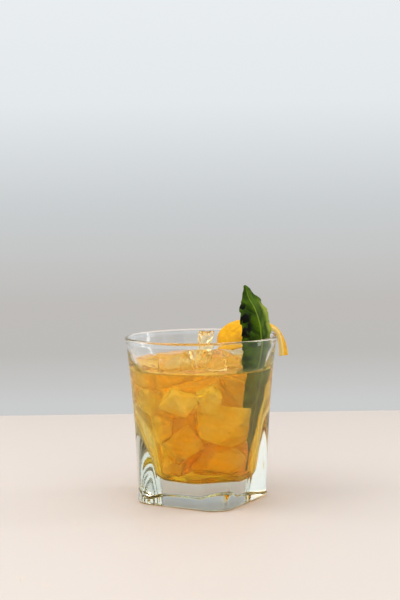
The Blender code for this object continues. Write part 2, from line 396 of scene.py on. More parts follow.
class Effect:
    """Shader node groups that several finishes share, each built once."""

    made: dict[str, bpy.types.NodeTree] = {}

    @classmethod
    def started(cls, name: str, inputs: dict[str, tuple], outputs: dict[str, str]) -> bpy.types.NodeTree:
        """Starts a group with its named sockets.

        Args:
            name: the group's name.
            inputs: what goes in, each with its kind and its usual value.
            outputs: what comes out, each with its kind.

        Returns:
            The group.
        """
        tree = bpy.data.node_groups.new(name, "ShaderNodeTree")
        for label, (kind, value) in inputs.items():
            made = tree.interface.new_socket(name=label, in_out="INPUT", socket_type=kind)
            if value is not None:
                made.default_value = value
        for label, kind in outputs.items():
            tree.interface.new_socket(name=label, in_out="OUTPUT", socket_type=kind)
        cls.made[name] = tree
        return tree

    @classmethod
    def uneven_tone(cls) -> bpy.types.NodeTree:
        """Builds the group that wanders between two colours in soft clouds.

        Returns:
            The group: Vector, Scale, Detail, Low, High, First and Second in, Color and Mask out.
        """
        if "uneven tone" in cls.made:
            return cls.made["uneven tone"]
        inputs = {
            "Vector": ("NodeSocketVector", None),
            "Scale": ("NodeSocketFloat", 100.0),
            "Detail": ("NodeSocketFloat", 3.0),
            "Low": ("NodeSocketFloat", 0.35),
            "High": ("NodeSocketFloat", 0.65),
            "First": ("NodeSocketColor", (1, 1, 1, 1)),
            "Second": ("NodeSocketColor", (0, 0, 0, 1)),
        }
        tree = cls.started("uneven tone", inputs, {"Color": "NodeSocketColor", "Mask": "NodeSocketFloat"})
        nodes, link = tree.nodes, tree.links.new
        given = nodes.new("NodeGroupInput").outputs
        out = nodes.new("NodeGroupOutput").inputs
        cloud = nodes.new("ShaderNodeTexNoise")
        for name in ("Vector", "Scale", "Detail"):
            link(given[name], cloud.inputs[name])
        band = nodes.new("ShaderNodeMapRange")
        band.interpolation_type = "SMOOTHSTEP"
        link(cloud.outputs["Fac"], band.inputs["Value"])
        link(given["Low"], band.inputs["From Min"])
        link(given["High"], band.inputs["From Max"])
        mix = nodes.new("ShaderNodeMix")
        mix.data_type = "RGBA"
        link(band.outputs["Result"], mix.inputs["Factor"])
        link(given["First"], mix.inputs["A"])
        link(given["Second"], mix.inputs["B"])
        link(mix.outputs["Result"], out["Color"])
        link(band.outputs["Result"], out["Mask"])
        return tree

    @classmethod
    def fine_relief(cls) -> bpy.types.NodeTree:
        """Builds the group that gives a height of soft swells and small pits.

        Returns:
            The group: Vector, Swell Scale, Pit Scale and Pits in, Height out.
        """
        if "fine relief" in cls.made:
            return cls.made["fine relief"]
        inputs = {
            "Vector": ("NodeSocketVector", None),
            "Swell Scale": ("NodeSocketFloat", 200.0),
            "Pit Scale": ("NodeSocketFloat", 900.0),
            "Pits": ("NodeSocketFloat", 0.5),
        }
        tree = cls.started("fine relief", inputs, {"Height": "NodeSocketFloat"})
        nodes, link = tree.nodes, tree.links.new
        given = nodes.new("NodeGroupInput").outputs
        out = nodes.new("NodeGroupOutput").inputs
        swell = nodes.new("ShaderNodeTexNoise")
        swell.inputs["Detail"].default_value = 2
        link(given["Vector"], swell.inputs["Vector"])
        link(given["Swell Scale"], swell.inputs["Scale"])
        pit = nodes.new("ShaderNodeTexVoronoi")
        pit.feature = "SMOOTH_F1"
        link(given["Vector"], pit.inputs["Vector"])
        link(given["Pit Scale"], pit.inputs["Scale"])
        depth = nodes.new("ShaderNodeMath")
        depth.operation = "MULTIPLY"
        link(pit.outputs["Distance"], depth.inputs[0])
        link(given["Pits"], depth.inputs[1])
        total = nodes.new("ShaderNodeMath")
        total.operation = "ADD"
        link(swell.outputs["Fac"], total.inputs[0])
        link(depth.outputs["Value"], total.inputs[1])
        link(total.outputs["Value"], out["Height"])
        return tree


@dataclass
class Shader:
    """A material being put together around its Principled shader."""

    material: bpy.types.Material

    @classmethod
    def begin(cls, name: str) -> "Shader":
        """Starts a material with a bare Principled shader.

        Args:
            name: the material's name.

        Returns:
            The material to work on.
        """
        material = bpy.data.materials.new(name)
        material.use_nodes = True
        return cls(material)

    @property
    def tree(self) -> bpy.types.NodeTree:
        """The material's nodes and links."""
        return self.material.node_tree

    @property
    def surface(self) -> bpy.types.Node:
        """The Principled shader."""
        return self.tree.nodes["Principled BSDF"]

    def settle(self, **values: object) -> None:
        """Sets plain values on the Principled shader, named with _ for a space."""
        for name, value in values.items():
            self.surface.inputs[name.replace("_", " ")].default_value = value

    def node(self, kind: str, **settings: object) -> bpy.types.Node:
        """Adds a node.

        Args:
            kind: the type of node.
            **settings: its properties.

        Returns:
            The node.
        """
        made = self.tree.nodes.new(kind)
        for name, value in settings.items():
            setattr(made, name, value)
        return made

    def feed(self, value: object, target: Socket) -> None:
        """Gives a socket what it takes.

        Args:
            value: another socket, which is linked to it, or a plain value.
            target: the socket.
        """
        if isinstance(value, Socket):
            self.tree.links.new(value, target)
        else:
            target.default_value = value

    def color(self, value: object) -> None:
        """Colours the surface by a socket."""
        self.feed(value, self.surface.inputs["Base Color"])

    def coordinates(self) -> Socket:
        """The object's own coordinates."""
        return self.node("ShaderNodeTexCoord").outputs["Object"]

    def height(self) -> Socket:
        """Reads how high a point of the object lies.

        Returns:
            Its height in metres.
        """
        split = self.node("ShaderNodeSeparateXYZ")
        self.feed(self.coordinates(), split.inputs["Vector"])
        return split.outputs["Z"]

    def attribute(self, name: str) -> Socket:
        """A number kept on the piece's own points."""
        return self.node("ShaderNodeAttribute", attribute_name=name).outputs["Fac"]

    def group(self, tree: bpy.types.NodeTree, **values: object) -> bpy.types.Node:
        """Places a shared effect, laid out by the object's own coordinates.

        Args:
            tree: the effect.
            **values: this material's own values, named with _ for a space.

        Returns:
            The placed effect.
        """
        made = self.node("ShaderNodeGroup", node_tree=tree)
        for name, value in values.items():
            made.inputs[name.replace("_", " ")].default_value = value
        self.feed(self.coordinates(), made.inputs["Vector"])
        return made

    def tones(self, clouds: Clouds, first: Color = (1, 1, 1), second: Color = (0, 0, 0)) -> bpy.types.Node:
        """Places uneven tones.

        Args:
            clouds: how the two tones wander.
            first: the one tone.
            second: the other.

        Returns:
            The placed effect, with Color and Mask out.
        """
        return self.group(
            Effect.uneven_tone(), Scale=clouds.scale, Detail=clouds.detail, Low=clouds.low, High=clouds.high,
            First=rgba(first), Second=rgba(second),
        )

    def skin_height(self, skin: Skin) -> Socket:
        """Places fine relief.

        Args:
            skin: its swells and pits.

        Returns:
            Its height.
        """
        placed = self.group(
            Effect.fine_relief(), Swell_Scale=skin.swell_scale, Pit_Scale=skin.pit_scale, Pits=skin.pits
        )
        return placed.outputs["Height"]

    def relief(self, height: Socket, skin: Skin) -> None:
        """Lets a height shade the surface.

        Args:
            height: the relief, about 0 to 1.
            skin: says how much of it shows and how far a height of 1 stands proud.
        """
        bump = self.node("ShaderNodeBump")
        bump.inputs["Strength"].default_value = skin.strength
        bump.inputs["Distance"].default_value = skin.depth
        self.feed(height, bump.inputs["Height"])
        self.feed(bump.outputs["Normal"], self.surface.inputs["Normal"])

    def blend(self, factor: object, first: object, second: object) -> Socket:
        """Mixes two colours, each a socket or a linear colour, by a factor.

        Args:
            factor: a socket or a number, 0 for the first colour and 1 for the second.
            first: the colour at 0.
            second: the colour at 1.

        Returns:
            The mixed colour.
        """
        mix = self.node("ShaderNodeMix", data_type="RGBA")
        self.feed(factor, mix.inputs["Factor"])
        for value, side in ((first, "A"), (second, "B")):
            self.feed(value if isinstance(value, Socket) else rgba(value), mix.inputs[side])
        return mix.outputs["Result"]

    def band(self, value: Socket, band: Band) -> Socket:
        """Rises softly from 0 to 1.

        Args:
            value: what it follows.
            band: the values where it is 0 and where it is 1.

        Returns:
            The risen number.
        """
        made = self.node("ShaderNodeMapRange", interpolation_type="SMOOTHSTEP")
        self.feed(value, made.inputs["Value"])
        made.inputs["From Min"].default_value, made.inputs["From Max"].default_value = band
        return made.outputs["Result"]

    def arithmetic(self, operation: str, first: object, second: object = 0.0) -> Socket:
        """Works out one number from one or two, each a socket or a plain number.

        Args:
            operation: what is worked out.
            first: the first number.
            second: the second number.

        Returns:
            The outcome.
        """
        made = self.node("ShaderNodeMath", operation=operation)
        self.feed(first, made.inputs[0])
        self.feed(second, made.inputs[1])
        return made.outputs["Value"]

    def absorb(self, color: Color, density: float) -> None:
        """Fills the inside with something that takes light away.

        Args:
            color: the light that it lets through.
            density: how strongly it takes the rest.
        """
        absorption = self.node("ShaderNodeVolumeAbsorption")
        absorption.inputs["Color"].default_value = rgba(color)
        absorption.inputs["Density"].default_value = density
        self.feed(absorption.outputs["Volume"], self.tree.nodes["Material Output"].inputs["Volume"])


def tone_ramp(tree: bpy.types.NodeTree, share: Socket, tones: list[tuple[float, Color]]) -> Socket:
    """Shades evenly through a row of colours.

    Args:
        tree: the nodes that it joins.
        share: the number that picks the colour, 0 to 1.
        tones: the colours, each after the number that picks it, the first at 0.

    Returns:
        The picked colour.
    """
    ramp = tree.nodes.new("ShaderNodeValToRGB")
    tree.links.new(share, ramp.inputs["Fac"])
    stops = ramp.color_ramp.elements
    stops.remove(stops[1])
    for spot, color in tones:
        stop = stops.new(spot) if spot > 0 else stops[0]
        stop.color = rgba(color)
    return ramp.outputs["Color"]


@dataclass(frozen=True)
class GlassFinish:
    """Clear pressed glass with a faint swell in its skin."""

    color: Color = (0.99, 0.99, 0.985)
    absorbed_color: Color = (0.12, 0.16, 0.0)
    absorbed_density: float = 6.0
    bend: float = 1.5
    reflected: Color = (0.5, 0.5, 0.48)
    skin: Skin = Skin(90.0, 900.0, 0.0, 0.05, 0.2 * MM)

    def material(self) -> bpy.types.Material:
        """Puts the finish together.

        Returns:
            The finished material.
        """
        shader = Shader.begin("clear pressed glass")
        shader.settle(
            Base_Color=rgba(self.color), Roughness=0.0, IOR=self.bend, Transmission_Weight=1.0, Metallic=0.0,
            Specular_Tint=rgba(self.reflected),
        )
        shader.relief(shader.skin_height(self.skin), self.skin)
        shader.absorb(self.absorbed_color, self.absorbed_density)
        return shader.material


@dataclass(frozen=True)
class DrinkFinish:
    """Golden amber drink, a little cloudy, with painted light: paler towards its level and deeper in colour
    towards the foot, as light falls in from above.
    """

    # pale and deep: the tones of the painted light, pale near the level and deep at the foot, and also of the
    # clouds
    pale: Color = (1.0, 1.0, 0.5)
    deep: Color = (1.0, 0.7, 0.01)
    # painted light: the heights over which the drink goes from its deep tone to its pale one
    rise: Band = (22 * MM, 74 * MM)
    clouds: Clouds = Clouds(70.0, 0.3, 0.7)
    cloud_share: float = 0.45
    clearness: float = 0.87
    bend: float = 1.345
    reflected: Color = (1.0, 0.6, 0.1)
    absorbed_color: Color = (1.0, 0.855, 0.02)
    absorbed_density: float = 50.0

    def material(self) -> bpy.types.Material:
        """Puts the finish together.

        Returns:
            The finished material.
        """
        shader = Shader.begin("amber drink")
        shader.settle(
            Roughness=0.0, IOR=self.bend, Transmission_Weight=self.clearness, Metallic=0.0,
            Specular_Tint=rgba(self.reflected),
        )
        # painted light: the drink paler the higher it lies, for the light that falls in from above
        color = shader.blend(shader.band(shader.height(), self.rise), self.deep, self.pale)
        clouds = shader.tones(self.clouds, self.deep, self.pale)
        shader.color(shader.blend(self.cloud_share, color, clouds.outputs["Color"]))
        shader.absorb(self.absorbed_color, self.absorbed_density)
        return shader.material


@dataclass(frozen=True)
class IceFinish:
    """Wet melting ice, its amber partly the drink's film on it and partly painted reflection of the drink."""

    name: str
    # amber tone: partly the drink's film, partly painted reflection of the drink
    drink_film_and_reflection: Color
    cloud: Color
    clearness: float
    roughness: float
    bend: float = 1.31
    clouds: Clouds = Clouds(120.0, 0.4, 0.7)
    skin: Skin = Skin(190.0, 420.0, 0.4, 1.0, 1.2 * MM)

    def material(self) -> bpy.types.Material:
        """Puts the finish together.

        Returns:
            The finished material.
        """
        shader = Shader.begin(self.name)
        shader.settle(
            Roughness=self.roughness, IOR=self.bend, Transmission_Weight=self.clearness, Metallic=0.0
        )
        # the amber tone is partly the drink's film and partly painted reflection of the drink
        shader.color(shader.tones(self.clouds, self.drink_film_and_reflection, self.cloud).outputs["Color"])
        shader.relief(shader.skin_height(self.skin), self.skin)
        return shader.material


@dataclass(frozen=True)
class LeafFinish:
    """Veined green leaf, dark and satin on its face and paler on its back, with painted sunlight on the right
    of its upper blade.

    Its bands go by the leaf's own numbers: along from stalk to tip, across from left to right edge, and back.
    """

    face: Color = linear(76, 102, 0)
    face_dark: Color = linear(38, 60, 0)
    back: Color = linear(100, 118, 40)
    vein: Color = linear(122, 138, 48)
    bruise: Color = linear(12, 12, 6)
    # painted sunlight: the lighter tone laid on the right of the upper blade
    painted_sunlight: Color = linear(136, 146, 62)
    roughness: float = 0.5
    shine: float = 0.12
    clouds: Clouds = Clouds(160.0, 0.3, 0.7)
    side_veins: float = 15.0
    side_vein_slant: float = 0.09
    side_vein_band: Band = (0.06, 0.0)
    side_vein_share: float = 0.25
    rib_band: Band = (0.055, 0.02)
    rib_share: float = 0.85
    upper_start: Band = (0.55, 0.64)
    upper_end: Band = (0.88, 0.8)
    # the right side of the blade that the painted sunlight covers
    painted_sunlight_side: Band = (0.5, 0.8)
    bruised_side: Band = (-0.3, -0.6)
    bruises: Clouds = Clouds(260.0, 0.47, 0.56, 4.0)
    back_band: Band = (0.4, 0.6)
    skin: Skin = Skin(700.0, 2500.0, 0.4, 0.6, 0.5 * MM)
    skin_share: float = 0.25

    def veins(self, shader: Shader) -> tuple[Socket, Socket]:
        """Draws the rib and the side veins out of the leaf's along and across numbers.

        Args:
            shader: the material being put together.

        Returns:
            How much vein shows, and the swell of the blade between the side veins.
        """
        across = shader.arithmetic("ABSOLUTE", shader.attribute("across"))
        slant = shader.arithmetic("MULTIPLY", across, self.side_vein_slant)
        slanted = shader.arithmetic("SUBTRACT", shader.attribute("along"), slant)
        wave = shader.arithmetic("PINGPONG", shader.arithmetic("MULTIPLY", slanted, self.side_veins), 0.5)
        side_vein = shader.band(wave, self.side_vein_band)
        side_vein = shader.arithmetic("MULTIPLY", side_vein, self.side_vein_share)
        rib = shader.arithmetic("MULTIPLY", shader.band(across, self.rib_band), self.rib_share)
        return shader.arithmetic("MAXIMUM", side_vein, rib), wave

    def painted_sunlight_and_bruises(self, shader: Shader) -> tuple[Socket, Socket]:
        """Marks the painted sunlight on the right and the bruised left side of the upper blade.

        Args:
            shader: the material being put together.

        Returns:
            How much painted sunlight lies on the leaf and how bruised it is.
        """
        across, along = shader.attribute("across"), shader.attribute("along")
        upper = shader.arithmetic(
            "MULTIPLY", shader.band(along, self.upper_start), shader.band(along, self.upper_end)
        )
        # painted sunlight on the right of the upper blade
        painted_sunlight = shader.arithmetic("MULTIPLY", shader.band(across, self.painted_sunlight_side), upper)
        dark_side = shader.arithmetic("MULTIPLY", shader.band(across, self.bruised_side), upper)
        spots = shader.tones(self.bruises).outputs["Mask"]
        return painted_sunlight, shader.arithmetic("MULTIPLY", dark_side, spots)

    def material(self) -> bpy.types.Material:
        """Puts the finish together.

        Returns:
            The finished material.
        """
        shader = Shader.begin("green leaf")
        shader.settle(Roughness=self.roughness, Metallic=0.0, Specular_IOR_Level=self.shine)
        vein, wave = self.veins(shader)
        painted_sunlight, bruised = self.painted_sunlight_and_bruises(shader)
        color = shader.tones(self.clouds, self.face, self.face_dark).outputs["Color"]
        # lays the painted sunlight over the leaf's own tones
        color = shader.blend(painted_sunlight, color, self.painted_sunlight)
        color = shader.blend(vein, color, self.vein)
        color = shader.blend(bruised, color, self.bruise)
        shader.color(shader.blend(shader.band(shader.attribute("back"), self.back_band), color, self.back))
        fine = shader.arithmetic("MULTIPLY", shader.skin_height(self.skin), self.skin_share)
        shader.relief(shader.arithmetic("ADD", wave, fine), self.skin)
        return shader.material


@dataclass(frozen=True)
class PeelFinish:
    """Pitted lemon peel, bright outside, with pale pith where the peel's own pith number says so."""

    zest: Color = linear(214, 166, 0)
    zest_deep: Color = linear(200, 148, 0)
    pith: Color = linear(206, 180, 112)
    roughness: float = 0.42
    shine: float = 0.25
    clouds: Clouds = Clouds(420.0, 0.35, 0.7)
    pith_band: Band = (0.35, 0.65)
    skin: Skin = Skin(500.0, 1100.0, 1.0, 0.35, 0.3 * MM)

    def material(self) -> bpy.types.Material:
        """Puts the finish together.

        Returns:
            The finished material.
        """
        shader = Shader.begin("lemon peel")
        shader.settle(Roughness=self.roughness, Metallic=0.0, Specular_IOR_Level=self.shine)
        zest = shader.tones(self.clouds, self.zest, self.zest_deep).outputs["Color"]
        shader.color(shader.blend(shader.band(shader.attribute("pith"), self.pith_band), zest, self.pith))
        shader.relief(shader.skin_height(self.skin), self.skin)
        return shader.material


@dataclass(frozen=True)
class PlainFinish:
    """Even matt stage surface."""

    name: str
    color: Color
    roughness: float
    shine: float

    def material(self) -> bpy.types.Material:
        """Puts the finish together.

        Returns:
            The finished material.
        """
        shader = Shader.begin(self.name)
        shader.settle(Base_Color=rgba(self.color), Roughness=self.roughness, Specular_IOR_Level=self.shine)
        return shader.material


# ---------------------------------------------------------------- the object


@dataclass
class Tumbler:
    """Heavy tumbler, a round rim over a rounded-square foot, with a round cavity."""

    height: float = 94.6 * MM
    rim_radius: float = 44 * MM
    wall_radius: float = 43.2 * MM
    foot_flat: float = 30.6 * MM
    foot_corner: float = 38.2 * MM
    flat_spread: float = 1.2
    corner_spread: float = 1.95
    foot_edge: float = 1.5 * MM
    lip_radius: float = 1.25 * MM
    lip_depth: float = 2.5
    lip_start: float = math.radians(-30)
    floor_middle: float = 8 * MM
    cavity: tuple = (
        (14, 13.3), (18.6, 13.9), (21.6, 16), (23, 20), (24.2, 28),
        (26.6, 42), (32.4, 60), (38.4, 76), (40.6, 86), (41.5, 93.3),
    )
    segments: int = 240
    wall_rings: int = 96
    edge_rings: int = 8
    lip_rings: int = 14
    cavity_rings: int = 117
    reading_steps: int = 120
    sharp_degrees: float = 50
    finish: GlassFinish = field(default_factory=GlassFinish)

    @property
    def wall_top(self) -> float:
        """Height where the wall ends and the lip swells out of it."""
        return self.height - self.lip_depth * self.lip_radius

    def side(self, angle: float, flat: float, corner: float) -> float:
        """Distance from the axis to a rounded square.

        Args:
            angle: direction about the axis.
            flat: distance to its sides.
            corner: distance to its corners.

        Returns:
            The distance in that direction.
        """
        straight = (corner - flat) / (ROOT_TWO - 1)
        rounding = flat - straight
        folded = angle % (math.pi / 2)
        folded = min(folded, math.pi / 2 - folded)
        if flat * math.tan(folded) <= straight:
            return flat / math.cos(folded)
        reach = straight * (math.cos(folded) + math.sin(folded))
        return reach + math.sqrt(rounding**2 - straight**2 * (1 - math.sin(2 * folded)))

    def ring(self, height: float, flat: float, corner: float) -> list[Vector]:
        """Draws the glass's outline at one height.

        Args:
            height: the height.
            flat: distance to its sides.
            corner: distance to its corners.

        Returns:
            Its points.
        """
        points = []
        for i in range(self.segments):
            angle = 2 * math.pi * i / self.segments
            radius = self.side(angle, flat, corner)
            points.append(Vector((radius * math.cos(angle), radius * math.sin(angle), height)))
        return points

    def outside(self, height: float) -> tuple[float, float]:
        """Reads the wall's outline at a height.

        Args:
            height: the height.

        Returns:
            The distances to its flat sides and to its corners.
        """
        share = height / self.wall_top
        flat = self.foot_flat + (self.wall_radius - self.foot_flat) * share**self.flat_spread
        corner = self.foot_corner + (self.wall_radius - self.foot_corner) * share**self.corner_spread
        return flat, corner

    def inside(self, steps: int) -> list[Vector]:
        """Radius and height up the inner wall, from the flat floor's edge to under the lip."""
        return [through(self.cavity, i / steps) * MM for i in range(steps + 1)]

    def inner_radius(self, height: float) -> float:
        """Reads the cavity's radius at a height over its floor.

        Args:
            height: the height over the table.

        Returns:
            The radius.
        """
        profile = self.inside(self.reading_steps)
        for low, high in zip(profile, profile[1:]):
            if low[1] <= height <= high[1]:
                return low[0] + (high[0] - low[0]) * (height - low[1]) / (high[1] - low[1])
        return profile[-1][0]

    def lining(self, inset: float, top: float, steps: int) -> list[tuple[float, float]]:
        """Profile of what fills the cavity, an inset away from its wall.

        Args:
            inset: metres from the wall, negative to reach into it.
            top: height where the profile ends.
            steps: how finely the wall is read.

        Returns:
            Radius and height from the middle of the floor up the wall.
        """
        points = self.inside(steps)
        profile = [(self.floor_middle, points[0][1] + inset)]
        for before, here, after in zip(points[:1] + points, points, points[1:]):
            along = (after - before).normalized()
            radius, height = here + Vector((-along[1], along[0])) * inset
            if height < top:
                profile.append((radius, height))
        return profile

    def build(self) -> bpy.types.Object:
        """Extrudes the glass from its underside up the wall, over the lip and down to the cavity's floor.

        Returns:
            The finished piece.
        """
        rings = []
        for i in range(self.edge_rings + 1):
            turn = math.pi / 2 * i / self.edge_rings
            height = self.foot_edge * (1 - math.cos(turn))
            inset = self.foot_edge * (1 - math.sin(turn))
            flat, corner = self.outside(height)
            rings.append(self.ring(height, flat - inset, corner - inset))
        for i in range(1, self.wall_rings + 1):
            height = self.foot_edge + (self.wall_top - self.foot_edge) * i / self.wall_rings
            rings.append(self.ring(height, *self.outside(height)))
        lip = self.lip_radius
        for i in range(self.lip_rings):
            turn = self.lip_start + (math.pi - self.lip_start) * i / self.lip_rings
            radius = self.rim_radius - lip + lip * math.cos(turn)
            rings.append(self.ring(self.height - lip + lip * math.sin(turn), radius, radius))
        for radius, height in reversed(self.inside(self.cavity_rings)):
            rings.append(self.ring(height, radius, radius))
        shell = rings_to_shell(rings)
        piece = finish_piece("tumbler_glass", shell, self.finish.material(), self.sharp_degrees)
        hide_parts("tumbler")
        return piece


class IceKind(Enum):
    """How a block lies in the drink."""

    STANDING = "standing"
    SUNKEN = "sunken"


@dataclass
class Ice:
    """All the ice: blocks that stand out of the drink, and those wholly sunk in it."""

    glass: Tumbler
    level: float = 76 * MM
    standing_nodes: tuple = tuple(f"ice_{number}" for number in range(1, 10))
    grain: float = 0.55 * MM
    rounds: int = 4
    ripple: float = 0.26 * MM
    sunken_ripple: float = 0.55 * MM
    sunken_seed: int = 20
    bite: float = 0.2 * MM
    spacing: float = 0.9 * MM
    wall_gap: float = 1.3 * MM
    shoulder_gap: float = 4 * MM
    top_gap: float = 1.5 * MM
    cellar_steps: int = 40
    cellar_segments: int = 96
    hewing_seed: int = 40
    blank: float = 4
    slant: float = 0.34
    chips: int = 4
    chip_lean: Band = (0.4, 1)
    chip_reach: Band = (0.62, 0.82)
    fewest_faces: int = 4
    sharp_degrees: float = 60
    sunken_mm: tuple = (
        ((8.5, -13, 46), (20, 15, 19), (4, 12, 18)),
        ((-8.5, -12, 34.5), (17, 14, 15), (-8, -20, 8)),
        ((-19, -9, 43), (12, 13, 17), (6, 8, -20)),
        ((-25, -7, 59), (11, 15, 14), (10, 10, 5)),
        ((-11, -22, 60), (15, 12, 14), (-6, 22, 16)),
        ((3, -24, 61), (12, 11, 13), (12, -14, 32)),
        ((-13, -6, 22.5), (13, 12, 12), (10, 18, -12)),
        ((9, -9, 24.5), (15, 13, 14), (-12, 24, 28)),
        ((2, 2, 60), (17, 15, 16), (9, -10, 40)),
        ((-14, 10, 56), (17, 16, 17), (14, 6, 12)),
        ((13, 16, 57), (17, 16, 17), (-8, 12, 30)),
        ((-8, 5, 42), (16, 14, 15), (20, -8, -15)),
        ((7, 9, 38), (16, 15, 16), (-14, 9, 22)),
        ((-7, 8, 24), (15, 14, 15), (8, -18, 33)),
        ((9, 8, 22.5), (14, 13, 12), (15, 10, -25)),
        ((-2, 24, 60), (14, 11, 15), (-10, 5, 9)),
        ((22, 3, 62), (9, 12, 12), (0, 14, 20)),
        ((-29, 6, 64), (9, 13, 13), (5, -8, 12)),
    )
    # the first colour of each ice finish: partly the drink on the ice, partly painted reflection of the drink
    wet: IceFinish = IceFinish("wet ice", (1.0, 0.84, 0.46), (1.0, 0.95, 0.82), 0.94, 0.02)
    drowned: IceFinish = IceFinish("ice in the drink", (1.0, 0.9, 0.42), (1.0, 0.97, 0.76), 0.62, 0.08)

    def faces(self, number: int, half: Vector) -> list[tuple[Vector, float]]:
        """Chooses where a sunken block is hewn: its slanted sides, then its broken corners.

        Args:
            number: which of the sunken blocks.
            half: half its size.

        Returns:
            Each cut's direction and distance from the middle.
        """
        uneven = random.Random(self.hewing_seed + number)
        planes = []
        for axis in range(3):
            for sign in (-1, 1):
                normal = Vector([uneven.uniform(-self.slant, self.slant) for _ in range(3)])
                normal[axis] = sign
                planes.append((normal.normalized(), half[axis]))
        for _ in range(self.chips):
            lean = [uneven.choice((-1, 1)) * uneven.uniform(*self.chip_lean) for _ in range(3)]
            normal = Vector(lean).normalized()
            corner = sum(abs(along) * side for along, side in zip(normal, half))
            planes.append((normal, corner * uneven.uniform(*self.chip_reach)))
        return planes

    def hewn(self, number: int) -> Shape:
        """Hews one sunken block out of a cube.

        Args:
            number: which of the sunken blocks.

        Returns:
            The block in its place.
        """
        middle, size, tilt = self.sunken_mm[number]
        bm = bmesh.new()
        bmesh.ops.create_cube(bm, size=self.blank * max(size) * MM)
        for normal, distance in self.faces(number, Vector(size) * MM / 2):
            made = bmesh.ops.bisect_plane(
                bm, geom=bm.verts[:] + bm.edges[:] + bm.faces[:], plane_co=normal * distance,
                plane_no=normal, clear_outer=True,
            )
            rim = [piece for piece in made["geom_cut"] if isinstance(piece, bmesh.types.BMEdge)]
            bmesh.ops.holes_fill(bm, edges=rim)
        seat = Matrix.Translation(place(*(length * MM for length in middle)))
        front = Matrix.Rotation(VIEW_TURN, 4, "Z")
        tilted = Euler([math.radians(angle) for angle in tilt]).to_matrix().to_4x4()
        bmesh.ops.transform(bm, matrix=seat @ front @ tilted, verts=bm.verts)
        bmesh.ops.triangulate(bm, faces=bm.faces)
        return bm

    def cellar(self) -> Shape:
        """Draws the space that sunken ice may fill: the cavity, clear of its wall and of the drink's level.

        Returns:
            The space.
        """
        profile = self.glass.lining(self.wall_gap, self.level - self.shoulder_gap, self.cellar_steps)
        top = self.level - self.top_gap
        profile.append((self.glass.inner_radius(top) - self.wall_gap, top))
        return rings_to_shell([circle(radius, height, self.cellar_segments) for radius, height in profile])

    def piece(
        self, kind: IceKind, label: str, shape: Shape, material: bpy.types.Material
    ) -> bpy.types.Object:
        """Makes a visible block.

        Args:
            kind: how it lies in the drink.
            label: the rest of its name.
            shape: the melted block.
            material: what it is dressed in.

        Returns:
            The finished piece.
        """
        piece = finish_piece(f"{kind.value}_{label}", shape, material, self.sharp_degrees)
        return piece

    def build(self, leaf_room: Shape) -> tuple[list[bpy.types.Object], list[Shape]]:
        """Makes every block.

        Args:
            leaf_room: the space that the leaf takes, kept free of sunken ice.

        Returns:
            The pieces, and each one's shape drawn in a little, for cutting the drink.
        """
        pieces, cutters, taken = [], [], [leaf_room]
        wet, drowned = self.wet.material(), self.drowned.material()
        for seed, node in enumerate(self.standing_nodes):
            shape = node_shape(node)
            taken.append(swollen(shape, self.spacing))
            soft = melted(shape, self.grain, self.rounds, self.ripple, seed)
            cutters.append(swollen(soft, -self.bite))
            piece = self.piece(IceKind.STANDING, node, soft, wet)
            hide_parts(node)
            pieces.append(piece)
        cellar = self.cellar()
        for number in range(len(self.sunken_mm)):
            block = combined(self.hewn(number), [cellar], Cut.SHARED)
            block = combined(block, taken, Cut.WITHOUT)
            if len(block.faces) < self.fewest_faces:
                log.warning("sunken block %d has no room", number + 1)
                block.free()
                continue
            taken.append(swollen(block, self.spacing))
            soft = melted(block, self.grain, self.rounds, self.sunken_ripple, self.sunken_seed + number)
            cutters.append(swollen(soft, -self.bite))
            pieces.append(self.piece(IceKind.SUNKEN, f"ice_{number + 1}", soft, drowned))
        return pieces, cutters


@dataclass
class Drink:
    """The drink, from the cavity's floor to its level, drawn up at the wall."""

    glass: Tumbler
    level: float = 76 * MM
    meniscus: float = 1.0 * MM
    meniscus_reach: float = 3 * MM
    meniscus_fall: tuple = ((0, 1), (0.08, 0.62), (0.2, 0.34), (0.4, 0.12), (0.7, 0.03), (1, 0))
    wall_end: float = 0.5 * MM
    into_wall: float = 0.15 * MM
    segments: int = 192
    wall_steps: int = 60
    sharp_degrees: float = 35
    finish: DrinkFinish = field(default_factory=DrinkFinish)

    def build(self, cutters: list[Shape]) -> bpy.types.Object:
        """Fills the cavity just into its wall and makes room for the ice.

        Args:
            cutters: the ice, each block drawn in a little so that no air shows round it.

        Returns:
            The finished piece.
        """
        profile = self.glass.lining(-self.into_wall, self.level - self.wall_end, self.wall_steps)
        edge = self.glass.inner_radius(self.level + self.meniscus) + self.into_wall
        for inward, rise in self.meniscus_fall:
            profile.append((edge - self.meniscus_reach * inward, self.level + self.meniscus * rise))
        profile.append((edge / 2, self.level))
        body = rings_to_shell([circle(radius, height, self.segments) for radius, height in profile])
        bmesh.ops.triangulate(body, faces=body.faces)
        body = combined(body, cutters, Cut.WITHOUT)
        piece = finish_piece("drink_fill", body, self.finish.material(), self.sharp_degrees)
        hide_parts("drink")
        return piece


